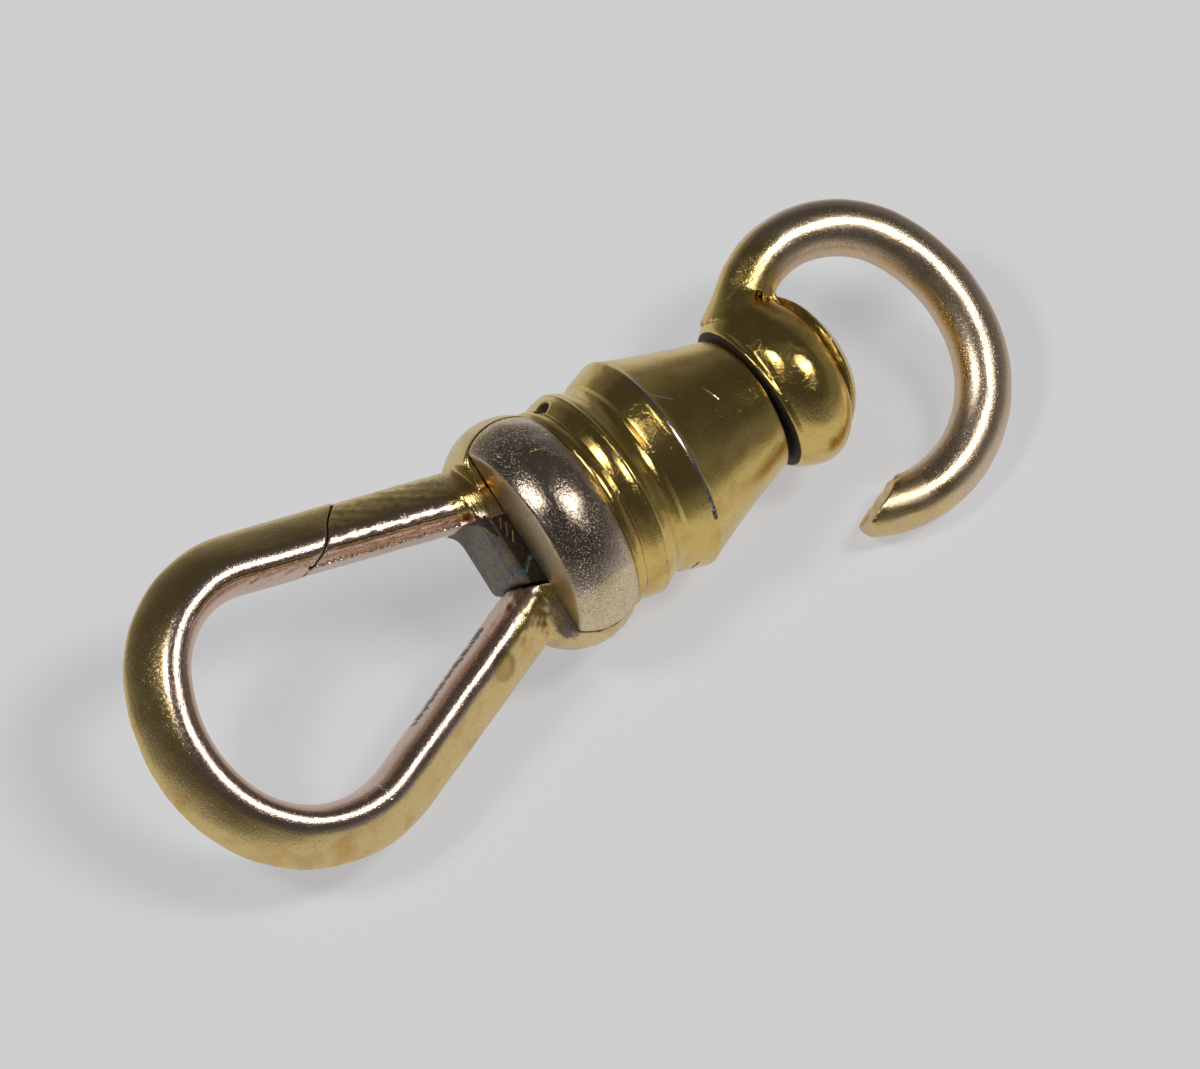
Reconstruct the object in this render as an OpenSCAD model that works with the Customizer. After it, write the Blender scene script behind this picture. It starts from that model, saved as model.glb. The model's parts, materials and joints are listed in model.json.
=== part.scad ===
// Dog clip clasp: a small turned swivel for a watch chain, lying at rest on a flat surface.
// The clasp is designed along its own barrel: x runs along the barrel's axis, from the collar
// (negative) to the swivel head (positive), with x = 0 at the sharp shoulder of the barrel.
// y lies in the plane of the loop, positive on the gate's side, and z stands across that plane.
// lay() then puts the finished clasp on the table, as it comes to rest.

/* [Loop] */
// Width of the loop's wire in the plane of the loop
wire_w = 1.8; // [1.6:0.05:2]
// Thickness of the loop's wire across the plane of the loop
wire_t = 2.4; // [2.2:0.05:2.6]
// Share of the wire's width between its inner side and its ridge
ridge_share = 0.4; // [0.35:0.01:0.6]
// Angle between the fixed arm and the barrel's axis
arm_angle = 21; // [19:0.5:23]
// Distance of the fixed arm's centre line from the axis, at the collar's face
arm_offset = 1.56; // [1.4:0.02:1.7]
// Length of the straight fixed arm in front of the collar's face
arm_len = 6.85; // [5.5:0.05:8]
// Radius of the bend at the heel of the loop
heel_r = 3.85; // [3.5:0.05:4.2]
// Angle that the heel bend turns through
heel_turn = 98; // [92:1:104]
// Radius of the flatter bend at the far end of the loop
far_r = 5; // [4.5:0.05:5.5]
// Angle that the far bend turns through
far_turn = 42.5; // [36:0.5:48]
// Radius of the bend at the crown of the loop
crown_r = 3.3; // [3:0.05:3.6]

/* [Gate] */
// Distance of the gate arm's centre line from the axis, at the collar's face
gate_offset = 1.85; // [1.75:0.01:1.95]
// Length of the gate arm from the collar's face to the middle of the scarf joint
gate_len = 4.9; // [4.2:0.05:5.6]
// Angle between the scarf joint and the gate arm
scarf_angle = 50; // [42:1:60]
// Width of the closed scarf joint
scarf_gap = 0.05; // [0.03:0.01:0.1]
// How far the web of the gate stands out in front of the collar's face
web_proud = 0.78; // [0.6:0.02:0.9]
// Reach of the web from the pivot pin, to the corner that swings past the fixed arm
web_reach = 3.4; // [3.3:0.01:3.5]
// Thickness of the web behind the pivot pin
web_back = 0.7; // [0.65:0.01:0.72]
// Radius of the fillet between the gate arm and the web
web_fillet = 0.45; // [0.3:0.05:0.7]
// How far the gate's hub and the fixed arm's root bulge in front of the collar's face
root_proud = 0.24; // [0.06:0.02:0.3]

/* [Collar] */
// Radius of the collar over its dome
collar_r = 3.55; // [3.45:0.01:3.65]
// Radius of the dome's curve
dome_r = 1.75; // [1.6:0.05:1.9]
// Length of the collar
collar_len = 2.12; // [2:0.02:2.3]
// Distance from the collar's seat to the top of its dome
dome_back = 1.1; // [0.95:0.05:1.2]
// Width of the slot sawn across the collar
slot_w = 2.5; // [2.3:0.02:2.7]
// Radius of the spigot that holds the collar in the barrel
spigot_r = 2.55; // [2.45:0.01:2.6]
// Length of the spigot
spigot_len = 0.95; // [0.7:0.05:1]

/* [Pivot pin] */
// Radius of the pivot pin
pin_r = 0.4; // [0.3:0.01:0.42]
// Distance from the collar's seat to the pin
pin_back = 0.95; // [0.92:0.01:1]
// Distance of the pin from the axis
pin_y = 1.95; // [1.9:0.01:2]

/* [Barrel] */
// Distance from the collar's seat to the shoulder
neck_len = 2.75; // [2.65:0.01:2.85]
// Radius of the low band next to the collar
band_r = 3.15; // [3.05:0.01:3.2]
// Length of the low band
band_len = 0.42; // [0.3:0.02:0.5]
// Largest radius of the bead
bead_r = 3.26; // [3.2:0.01:3.35]
// Length of the bead
bead_len = 0.68; // [0.6:0.02:0.8]
// Radius of the bead's crown
bead_curve = 1.6; // [1.2:0.1:2.5]
// Smallest radius of the cove between bead and shoulder
cove_r = 2.93; // [2.85:0.01:3]
// Radius of the cove's curve
cove_curve = 0.75; // [0.65:0.05:0.9]
// Length of the cove
cove_len = 0.82; // [0.7:0.02:0.9]
// Radius of the sharp shoulder
shoulder_r = 3.33; // [3.2:0.01:3.45]
// Radius of the round in front of the shoulder
shoulder_round = 0.62; // [0.5:0.02:0.7]
// Length of the shoulder's worn flat
shoulder_land = 0.2; // [0.1:0.02:0.25]
// Length of the cone
cone_len = 3.34; // [3:0.02:3.6]
// Radius of the cone's small end
cone_top_r = 2.09; // [1.95:0.01:2.3]
// Thickness of the barrel's end wall
end_wall = 0.6; // [0.5:0.02:0.7]
// Radius of the spring's bore
spring_bore = 2; // [1.95:0.01:2.05]
// Depth of the spring's bore past the shoulder
spring_depth = 1.2; // [0.9:0.05:1.3]
// Radius of the washer's chamber
chamber_r = 1.45; // [1.4:0.01:1.5]

/* [Spring] */
// Mean radius of the coil
coil_r = 1.6; // [1.58:0.01:1.65]
// Radius of the spring's wire
coil_wire = 0.17; // [0.12:0.01:0.18]
// Number of turns
coil_turns = 5; // [4:1:7]

/* [Swivel head] */
// Gap between the barrel's end and the head
head_gap = 0.24; // [0.2:0.01:0.35]
// Lean of the loose head, towards the wire's root
head_lean = 4; // [0:0.5:4.5]
// Radius of the drum
drum_r = 2.5; // [2.3:0.02:2.7]
// Length of the drum over its domed end
drum_len = 2.9; // [2.7:0.05:3.2]
// Radius of the domed end's curve
drum_dome = 3.2; // [2.9:0.05:3.4]
// Radius of the round on the drum's near edge
drum_edge = 0.25; // [0.2:0.05:0.5]
// Radius of the stem
stem_r = 0.65; // [0.5:0.01:0.7]
// Radius of the riveted end of the stem
rivet_r = 1.05; // [0.95:0.01:1.15]
// Thickness of the riveted end
rivet_t = 0.35; // [0.25:0.01:0.4]
// Radius of the rivet washer
washer_r = 1.25; // [1.2:0.01:1.28]
// Thickness of the rivet washer
washer_t = 0.2; // [0.15:0.01:0.25]
// Play between the washer and the end wall
washer_play = 0.15; // [0.14:0.01:0.2]

/* [Swivel hook] */
// Diameter of the swivel hook's wire
hook_wire = 1.62; // [1.4:0.02:1.8]
// Distance from the drum's near face to the root of the wire
hook_root_x = 1.35; // [1.2:0.05:1.5]
// Distance from the head's axis to the root of the wire
hook_root_y = 2.14; // [2:0.02:2.3]
// Angle between the wire's root and the head's axis
hook_rise = 54.5; // [48:0.5:60]
// Length of the flare at the wire's root
flare_len = 1.1; // [0.8:0.05:1.3]
// Radius of the flare inside the drum
flare_r = 1.3; // [1.1:0.05:1.4]
// Radius of the first bend
first_r = 2.3; // [2.1:0.05:2.5]
// Angle that the first bend turns through
first_turn = 76; // [70:1:82]
// Radius of the wide bend at the back
back_r = 4.25; // [4:0.05:4.5]
// Angle that the back bend turns through
back_turn = 105; // [98:1:110]
// Radius of the bend that leads to the cut tip
tip_r = 3.75; // [3.5:0.05:4]
// Angle that the tip bend turns through, to the middle of the cut
tip_turn = 79; // [72:1:84]
// Angle between the oblique cut and a square one
cut_angle = 36; // [25:1:45]

/* [Fits] */
// Clearance on each side of the gate in its slot
slot_play = 0.05; // [0.03:0.01:0.1]
// Radial clearance of the pin in the gate
pin_play = 0.05; // [0.03:0.01:0.08]
// Radial clearance of the stem in the end wall
stem_play = 0.08; // [0.06:0.01:0.12]
// Clearance between the web and the fixed arm's root
web_play = 0.08; // [0.06:0.01:0.15]
// Radial clearance of parts that are driven or brazed together
fixed_play = 0.01; // [0.005:0.005:0.02]

/* [Hidden] */
$fn = 96;

far = 40;                 // longer than anything it cuts
eps = 0.01;               // overrun of a cut past the face that it opens
section_points = 24;      // corners of the loop wire's section
coil_sides = 8;           // sides of the spring's wire
coil_steps = 14;          // steps in one turn of the spring
tip_over = 18;            // turn of the tip bend past the middle of its cut
lap = 1.5;                // turn by which one length of wire laps over the next
lap_grow = 1.01;          // growth of the lengths that lap over

// stations along the axis
seat_x = -neck_len;
collar_face = seat_x - collar_len;
dome_x = seat_x - dome_back;
pin_x = seat_x - pin_back;
bead_x = seat_x + band_len;
cove_x = bead_x + bead_len;
round_x = cove_x + cove_len;
ledge_x = spring_depth;
wall_x = cone_len - end_wall;
head_x = cone_len + head_gap;
lean_x = cone_len - end_wall / 2;

gate_t = slot_w - 2 * slot_play;
dome_centre_r = collar_r - dome_r;
web_face = collar_face - web_proud;
root_face = collar_face - root_proud;
spring_front = pin_x + web_back + fixed_play;
bore_front = spring_front - coil_wire;

// headings in the plane of the loop are angles from the x axis; every bend turns to the right
function right_of(h) = [sin(h), -cos(h)];
function along(h) = [cos(h), sin(h)];

// the loop's centre line, from the collar round to the gate
arm_heading = 180 + arm_angle;
arm_root = [collar_face, -arm_offset];
heel_start = arm_root + arm_len * along(arm_heading);
heel_centre = heel_start + heel_r * right_of(arm_heading);
far_heading = arm_heading - heel_turn;
far_centre = heel_centre + (far_r - heel_r) * right_of(far_heading);
crown_heading = far_heading - far_turn;
crown_centre = far_centre + (crown_r - far_r) * right_of(crown_heading);

// the gate's centre line leaves the crown on a tangent and passes through gate_root
gate_root = [collar_face, gate_offset];
to_gate = gate_root - crown_centre;
tangent_len = sqrt(to_gate * to_gate - crown_r * crown_r);
gate_heading = atan2(to_gate.y, to_gate.x) - atan2(crown_r, tangent_len);
crown_turn = crown_heading - gate_heading;
crown_end = crown_centre - crown_r * right_of(gate_heading);
scarf_at = gate_root - gate_len * along(gate_heading);
scarf_reach = wire_w / tan(scarf_angle);
lap_len = crown_r * sin(lap);
crown_to_scarf = tangent_len - gate_len + scarf_reach + lap_len;

// the swivel hook's centre line, in the head's own frame
hook_root = [head_x + hook_root_x, hook_root_y];
first_centre = hook_root + first_r * right_of(hook_rise);
back_heading = hook_rise - first_turn;
back_centre = first_centre + (back_r - first_r) * right_of(back_heading);
tip_heading = back_heading - back_turn;
tip_centre = back_centre + (tip_r - back_r) * right_of(tip_heading);
end_heading = tip_heading - tip_turn;
hook_end = tip_centre - tip_r * right_of(end_heading);

// a point of the head after its lean
function leaned(p) = [
  lean_x + (p.x - lean_x) * cos(head_lean) - p.y * sin(head_lean),
  (p.x - lean_x) * sin(head_lean) + p.y * cos(head_lean)
];

// rest on the table: the collar's dome and the shoulder touch it, which sets the pitch,
// and the swivel hook's lowest bend touches it, which sets the roll
dome_to_shoulder = [-dome_x, shoulder_r - dome_centre_r];
rest_pitch = 90 - atan2(dome_to_shoulder.y, dome_to_shoulder.x) - acos(dome_r / norm(dome_to_shoulder));
rest_height = shoulder_r * cos(rest_pitch);
low_centre = leaned(tip_centre);
roll_room = rest_height - hook_wire / 2 - low_centre.x * sin(rest_pitch);
roll_a = tip_r * tip_r - low_centre.y * low_centre.y;
roll_b = -low_centre.y * roll_room;
roll_c = pow(tip_r * sin(rest_pitch), 2) - roll_room * roll_room;
rest_roll = asin((sqrt(roll_b * roll_b - roll_a * roll_c) - roll_b) / (roll_a * cos(rest_pitch)));

// middle of the clasp's footprint
loop_end_x = far_centre.x - far_r - wire_w / 2;
hook_end_x = leaned(back_centre).x + back_r + hook_wire / 2;
crown_y = (crown_centre.y + crown_r) * cos(rest_roll) + norm([wire_w * cos(rest_roll), wire_t * sin(rest_roll)]) / 2;
low_y = (low_centre.y - tip_r) * cos(rest_roll) - hook_wire / 2;
middle_x = (loop_end_x + hook_end_x) / 2 * cos(rest_pitch);
middle_y = (crown_y + low_y) / 2;

module lay()
  translate([-middle_x, -middle_y, rest_height])
    rotate([rest_roll, rest_pitch, 0])
      children();

// turns a profile about the barrel's axis; its first coordinate is the radius, its second is x
module turned()
  rotate([0, 90, 0])
    rotate_extrude()
      children();

// a block between two stations of the axis, for profiles
module band(r, x0, x1)
  translate([0, x0])
    square([r, x1 - x0]);

// egg-shaped section of the loop's wire, with its ridge nearer the inner side
module wire_section(grow = 1)
  polygon([for (i = [0:section_points - 1])
    let (a = 360 * i / section_points, side = cos(a) > 0 ? 1 - ridge_share : ridge_share)
      [grow * wire_w * (side * cos(a) + ridge_share - 0.5), grow * wire_t / 2 * sin(a)]]);

// a straight length of a section from point p, and a bend that starts with heading h;
// every second length laps over its neighbours and is grown a little to take them in
module straight(p, h, length)
  translate([p.x, p.y, 0])
    rotate([90, 0, h + 90])
      linear_extrude(length)
        children();

module bend(centre, radius, h, turn, over = 0)
  translate([centre.x, centre.y, 0])
    rotate_extrude(angle = turn + 2 * over, start = h + 90 - turn - over)
      translate([radius, 0])
        children();

// everything on one side of the scarf joint: side is 1 for the loop's, -1 for the gate's
module scarf_side(side)
  translate([scarf_at.x, scarf_at.y, 0])
    rotate(gate_heading + scarf_angle)
      translate([-far / 2, side > 0 ? scarf_gap / 2 : -far - scarf_gap / 2, -far / 2])
        cube(far);

// the collar's dome, closed and with its face at the given station
module dome(face)
  turned()
    union() {
      band(dome_centre_r, face, seat_x);
      intersection() {
        translate([dome_centre_r, dome_x])
          circle(dome_r);
        band(collar_r, face, seat_x);
      }
    }

module slab(t, x0, x1)
  translate([x0, -far / 2, -t / 2])
    cube([x1 - x0, far, t]);

module barrel()
  color("#c9a548")
    lay()
      turned()
        difference() {
          union() {
            band(band_r, seat_x, bead_x);
            intersection() {
              translate([bead_r - bead_curve, (bead_x + cove_x) / 2])
                circle(bead_curve);
              band(bead_r, bead_x, cove_x);
            }
            difference() {
              band(band_r, cove_x, round_x);
              translate([cove_r + cove_curve, cove_x + cove_len * 0.63])
                circle(cove_curve);
            }
            intersection() {
              translate([shoulder_r - shoulder_round, -shoulder_land])
                circle(shoulder_round);
              band(shoulder_r, -shoulder_land - shoulder_round, -shoulder_land);
            }
            band(shoulder_r - shoulder_round, round_x, 0);
            band(shoulder_r, -shoulder_land, 0);
            polygon([[0, 0], [shoulder_r, 0], [cone_top_r, cone_len], [0, cone_len]]);
          }
          band(spigot_r + fixed_play, seat_x - eps, seat_x + spigot_len + fixed_play);
          band(spring_bore, seat_x, ledge_x);
          band(chamber_r, ledge_x - eps, wall_x);
          band(stem_r + stem_play, wall_x - eps, cone_len + eps);
        }

module collar()
  color("#a8937c")
    lay()
      difference() {
        union() {
          dome(collar_face);
          turned()
            band(spigot_r, seat_x - eps, seat_x + spigot_len);
        }
        slab(slot_w, collar_face - far, seat_x);
        turned()
          band(spring_bore, bore_front, seat_x + spigot_len + eps);
        pin_shape(pin_r + fixed_play, 0);
      }

// a cylinder across the loop's plane, through the pivot
module pin_shape(r, x_shift)
  translate([pin_x + x_shift, pin_y, -far / 2])
    cylinder(r = r, h = far);

module gate_pin()
  color("#8d8170")
    lay()
      intersection() {
        pin_shape(pin_r, 0);
        dome(collar_face);
      }

module fixed_hook()
  color("#bd9c4b")
    lay()
      difference() {
        union() {
          straight(arm_root - wire_w * along(arm_heading), arm_heading, arm_len + wire_w + lap_len)
            wire_section(lap_grow);
          bend(heel_centre, heel_r, arm_heading, heel_turn)
            wire_section();
          bend(far_centre, far_r, far_heading, far_turn, lap)
            wire_section(lap_grow);
          bend(crown_centre, crown_r, crown_heading, crown_turn)
            wire_section();
          intersection() {
            straight(crown_end - lap_len * along(gate_heading), gate_heading, crown_to_scarf)
              wire_section(lap_grow);
            scarf_side(1);
          }
          intersection() {
            dome(root_face);
            slab(slot_w - 2 * fixed_play, root_face, seat_x - fixed_play);
            translate([-far, -far, -far / 2])
              cube(far);
          }
        }
        pin_shape(web_reach + web_play, 0);
        turned()
          band(spring_bore, bore_front, far);
      }

module gate()
  color("#b89a52")
    lay()
      difference() {
        union() {
          intersection() {
            straight(scarf_at - scarf_reach * along(gate_heading), gate_heading, gate_len + scarf_reach + wire_w)
              wire_section();
            scarf_side(-1);
          }
          intersection() {
            dome(root_face);
            slab(gate_t, root_face, seat_x - slot_play * 2);
            translate([-far, pin_y, -far / 2])
              cube(far);
          }
          linear_extrude(gate_t, center = true)
            web_outline();
        }
        pin_shape(pin_r + pin_play, 0);
      }

// the web: a circle about the pin that is cut to its front and back faces
module web_outline()
  difference() {
    union() {
      intersection() {
        translate([pin_x, pin_y])
          circle(web_reach);
        translate([web_face, pin_y - far])
          square([pin_x + web_back - web_face, far]);
      }
      translate([pin_x, pin_y])
        circle(web_back);
      translate([web_face - web_fillet, fillet_y])
        square([web_fillet * 2, web_fillet * 2]);
    }
    translate([web_face - web_fillet, fillet_y])
      circle(web_fillet);
    above_gate_line();
  }

// height at which the fillet's circle touches the gate arm's inner side
fillet_y = gate_offset - (wire_w / 2 + web_fillet) / cos(gate_heading)
  + (web_face - web_fillet - collar_face) * tan(gate_heading);

module above_gate_line()
  translate(gate_root)
    rotate(gate_heading)
      translate([-far, 0])
        square([far - web_back, far]);

// one turn angle in, one station out: the coil's ends lie flat against their seats
function coil_x(turn) = let (last = coil_turns, flat = 0.75)
  spring_front + coil_wire
  + (ledge_x - fixed_play - spring_front - 2 * coil_wire) * min(1, max(0, (turn - flat) / (last - 2 * flat)));

module gate_spring() {
  steps = coil_turns * coil_steps;
  points = [for (i = [0:steps], j = [0:coil_sides - 1])
    let (a = 360 * i / coil_steps, b = 360 * j / coil_sides, r = coil_r + coil_wire * cos(b))
      [coil_x(i / coil_steps) + coil_wire * sin(b) * 0.98, r * cos(a), r * sin(a)]];
  sides = [for (i = [0:steps - 1], j = [0:coil_sides - 1])
    let (k = (j + 1) % coil_sides, p = i * coil_sides)
      [p + j, p + k, p + k + coil_sides, p + j + coil_sides]];
  first_end = [for (j = [coil_sides - 1:-1:0]) j];
  last_end = [for (j = [0:coil_sides - 1]) steps * coil_sides + j];
  color("#8c8f93")
    lay()
      polyhedron(points, concat(sides, [first_end, last_end]), convexity = 10);
}

// the head's own frame, leaning in the play of its stem
module leaning()
  translate([lean_x, 0, 0])
    rotate(head_lean)
      translate([-lean_x, 0, 0])
        children();

module swivel_hook()
  color("#b08f5e")
    lay()
      leaning()
        union() {
          turned()
            union() {
              intersection() {
                translate([0, head_x + drum_len - drum_dome])
                  circle(drum_dome);
                union() {
                  band(drum_r, head_x + drum_edge, head_x + drum_len);
                  band(drum_r - drum_edge, head_x, head_x + drum_len);
                  translate([drum_r - drum_edge, head_x + drum_edge])
                    circle(drum_edge);
                }
              }
              band(stem_r, rivet_x, head_x + eps);
              band(rivet_r, rivet_x, rivet_x + rivet_t);
            }
          intersection() {
            translate([hook_root.x, hook_root.y, 0] - flare_len * concat(along(hook_rise), [0]))
              rotate([0, 90, hook_rise])
                cylinder(r1 = flare_r, r2 = hook_wire / 2 * lap_grow, h = flare_len + lap_len);
            translate([head_x + eps, -far / 2, -far / 2])
              cube(far);
          }
          bend(first_centre, first_r, hook_rise, first_turn)
            circle(d = hook_wire);
          bend(back_centre, back_r, back_heading, back_turn, lap)
            circle(d = hook_wire * lap_grow);
          difference() {
            bend(tip_centre, tip_r, tip_heading, tip_turn + tip_over)
              circle(d = hook_wire);
            translate([hook_end.x, hook_end.y, 0])
              rotate(end_heading - cut_angle)
                translate([0, -1.5 * hook_wire, -hook_wire])
                  cube(hook_wire * [2, 3, 2]);
          }
        }

rivet_x = wall_x - washer_play - washer_t - rivet_t;

module rivet_washer()
  color("#9a8a5a")
    lay()
      leaning()
        turned()
          translate([stem_r + fixed_play, rivet_x + rivet_t])
            square([washer_r - stem_r - fixed_play, washer_t]);

barrel();
collar();
fixed_hook();
gate();
gate_pin();
gate_spring();
swivel_hook();
rivet_washer();
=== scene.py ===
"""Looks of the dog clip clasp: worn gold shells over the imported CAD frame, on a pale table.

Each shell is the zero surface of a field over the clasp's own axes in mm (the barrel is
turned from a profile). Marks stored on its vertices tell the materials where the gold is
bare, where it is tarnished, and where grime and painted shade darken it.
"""

import json
import math

import bpy
import numpy as np
import openvdb
from mathutils import Matrix, Vector


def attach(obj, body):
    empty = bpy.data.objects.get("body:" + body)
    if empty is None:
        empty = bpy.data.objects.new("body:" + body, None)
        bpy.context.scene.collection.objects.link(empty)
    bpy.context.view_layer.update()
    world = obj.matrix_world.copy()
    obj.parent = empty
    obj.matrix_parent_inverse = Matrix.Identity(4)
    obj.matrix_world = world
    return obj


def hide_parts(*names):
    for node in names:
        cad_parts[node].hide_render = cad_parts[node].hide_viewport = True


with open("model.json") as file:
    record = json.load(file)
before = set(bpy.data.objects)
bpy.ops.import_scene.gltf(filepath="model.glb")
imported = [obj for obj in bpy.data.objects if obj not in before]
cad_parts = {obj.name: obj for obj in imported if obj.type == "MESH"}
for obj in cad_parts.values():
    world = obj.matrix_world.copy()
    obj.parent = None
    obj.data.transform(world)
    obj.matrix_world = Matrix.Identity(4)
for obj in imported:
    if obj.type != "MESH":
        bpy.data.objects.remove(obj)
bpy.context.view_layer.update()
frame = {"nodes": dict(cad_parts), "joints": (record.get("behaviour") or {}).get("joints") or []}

# ---------------------------------------------------------------- the clasp's own axes, in mm
# x runs along the barrel from its shoulder to the swivel, y lies in the loop's plane towards
# the gate, z stands square to the loop.
MM = 0.001
LEAN_X = 3.04
HEAD_LEAN = math.radians(4.0)

joints = {joint["name"]: joint for joint in frame["joints"]}
barrel_axis = Vector(joints["swivel_spin"]["axis"]).normalized()
across_axis = Vector(joints["gate_hinge"]["axis"]).normalized()
loop_axis = across_axis.cross(barrel_axis)
shoulder_at = Vector(joints["swivel_spin"]["pos_m"]) - barrel_axis * LEAN_X * MM
AXES = np.array([barrel_axis, loop_axis, across_axis])


def to_world(points):
    """Points of the clasp's own axes, in mm, as metres of the table's frame."""
    return np.asarray(points, float) @ AXES * MM + np.array(shoulder_at)


def direction(x, y, z):
    """A direction of the clasp's own axes, in the table's frame."""
    return Vector(np.array([x, y, z]) @ AXES)


# ---------------------------------------------------------------- sizes, as in the CAD source
WIRE_W, WIRE_T, RIDGE = 1.8, 2.4, 0.4
SEAT_X, COLLAR_FACE, DOME_X, DOME_R, COLLAR_R = -2.75, -4.87, -3.85, 1.75, 3.55
PIN_X, PIN_Y, PIN_R = -3.7, 1.95, 0.4
SLOT_W, SPIGOT_R, SPIGOT_LEN, SPRING_BORE = 2.5, 2.55, 0.95, 2.0
WEB_BACK = 0.7
BORE_FRONT = PIN_X + WEB_BACK + 0.01 - 0.17
WEB_REACH, WEB_FACE = 3.4, COLLAR_FACE - 0.78
ROOT_FACE = COLLAR_FACE - 0.24
CONE_LEN, CONE_TOP_R = 3.34, 2.09
DRUM_R, HOOK_WIRE = 2.5, 1.62
STEM_R, RIVET_R, RIVET_T = 0.65, 1.05, 0.35

TINY = 1e-9


# ---------------------------------------------------------------- soft joins between fields
def least(a, b, soft):
    """The smaller of two fields, rounded where they meet: a soft union."""
    blend = np.clip(0.5 + 0.5 * (b - a) / soft, 0, 1)
    return b + (a - b) * blend - soft * blend * (1 - blend)


def most(a, b, soft):
    """The larger of two fields, rounded where they meet: a soft intersection."""
    return -least(-a, -b, soft)


def step(low, high, value):
    """0 up to low, 1 from high on, and an even slope between; high may be the smaller."""
    t = np.clip((value - low) / (high - low), 0, 1)
    return t * t * (3 - 2 * t)


def ripple(points, size, seed):
    """Smooth unevenness between about -1 and 1, with waves of about the given size."""
    draw = np.random.default_rng(seed)
    total = np.zeros(len(points))
    waves = 14
    for _ in range(waves):
        way = draw.normal(size=3)
        way *= 2 * math.pi / size * draw.uniform(0.7, 1.5) / np.linalg.norm(way)
        total += np.sin(points @ way + draw.uniform(0, 2 * math.pi))
    return total / math.sqrt(waves)


# ---------------------------------------------------------------- centre lines in the loop's plane
class Line:
    """A straight length of wire from a point, along a heading in degrees."""

    def __init__(self, start, heading, length):
        self.start, self.heading, self.length = start, heading, length
        self.along = (math.cos(math.radians(heading)), math.sin(math.radians(heading)))

    def place(self, x, y):
        """Distance to the left of the line, and distance along it."""
        dx, dy = x - self.start[0], y - self.start[1]
        s = dx * self.along[0] + dy * self.along[1]
        n = dy * self.along[0] - dx * self.along[1]
        return n, s

    def end(self):
        """Where the line ends, and its heading there."""
        return tuple(self.start[i] + self.length * self.along[i] for i in (0, 1)), self.heading


class Bend:
    """A bend to the right that starts at a point with a heading; n is positive on its outside."""

    def __init__(self, start, heading, radius, turn):
        h = math.radians(heading)
        self.heading, self.radius, self.turn = heading, radius, turn
        self.centre = (start[0] + radius * math.sin(h), start[1] - radius * math.cos(h))
        self.length = radius * math.radians(turn)
        self.first = h + math.pi / 2

    def place(self, x, y):
        """Distance outside the bend, and distance along it."""
        dx, dy = x - self.centre[0], y - self.centre[1]
        middle = self.first - math.radians(self.turn) / 2
        angle = np.arctan2(dy * math.cos(middle) - dx * math.sin(middle),
                           dx * math.cos(middle) + dy * math.sin(middle))
        s = (math.radians(self.turn) / 2 - angle) * self.radius
        n = np.sqrt(dx * dx + dy * dy) - self.radius
        return n, s

    def end(self):
        """Where the bend ends, and its heading there."""
        h = math.radians(self.heading - self.turn)
        point = (self.centre[0] - self.radius * math.sin(h), self.centre[1] + self.radius * math.cos(h))
        return point, self.heading - self.turn


def centre_line(start, heading, parts):
    """Lengths of wire that follow each other on tangents: a number is straight, a pair is a bend."""
    lengths = []
    for part in parts:
        if isinstance(part, tuple):
            lengths.append(Bend(start, heading, *part))
        else:
            lengths.append(Line(start, heading, part))
        start, heading = lengths[-1].end()
    return lengths


def along_wire(lengths, x, y):
    """For each point: n left of the centre line, s along it, and the distance from it."""
    endless = 1e9
    best = None
    before = 0.0
    for i, part in enumerate(lengths):
        n, s = part.place(x, y)
        low = -endless if i == 0 else 0.0
        high = endless if i == len(lengths) - 1 else part.length
        over = np.maximum(np.maximum(low - s, s - high), 0)
        off = n * n + over * over
        if best is None:
            best, n_best, s_best = off, n, s + before
        else:
            nearer = off < best
            best = np.where(nearer, off, best)
            n_best = np.where(nearer, n, n_best)
            s_best = np.where(nearer, s + before, s_best)
        before += part.length
    return n_best, s_best, np.sqrt(best)


# ---------------------------------------------------------------- meshes from fields
def polygons(field, low, high, size):
    """The surface where a field over x, y and z (mm) is zero, as points and faces."""
    low = np.array(low, float)
    counts = np.ceil((np.array(high) - low) / size).astype(int) + 1
    x, y, z = (low[i] + size * np.arange(counts[i]) for i in range(3))
    values = field(x[:, None, None], y[None, :, None], z[None, None, :])
    values = np.ascontiguousarray(np.broadcast_to(values, counts), dtype=np.float32)
    grid = openvdb.FloatGrid(1.0)
    grid.copyFromArray(np.clip(values, -1, 1))
    points, triangles, quads = grid.convertToPolygons(0, 0)
    points = low + points.astype(float) * size
    faces = [tuple(f) for f in triangles.tolist()] + [tuple(f) for f in quads.tolist()]
    for _ in range(3):
        value, slope = slope_of(field, points)
        move = value / np.maximum((slope ** 2).sum(1), 0.05)
        points = points - np.clip(move[:, None] * slope, -size, size)
    return points, faces


def slope_of(field, points, reach=0.004):
    """A field's value and its gradient at each point."""
    value = field(*points.T)
    slope = np.stack([
        field(*(points + reach * np.eye(3)[i]).T) - field(*(points - reach * np.eye(3)[i]).T)
        for i in range(3)
    ], 1) / (2 * reach)
    return value, slope


def inside_out(points, faces):
    """Whether the faces of a closed mesh look inwards."""
    total = 0.0
    for count in (3, 4):
        some = np.array([f for f in faces if len(f) == count])
        if len(some):
            a = points[some[:, 0]]
            for k in range(1, count - 1):
                total += (a * np.cross(points[some[:, k]], points[some[:, k + 1]])).sum()
    return total < 0


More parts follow.
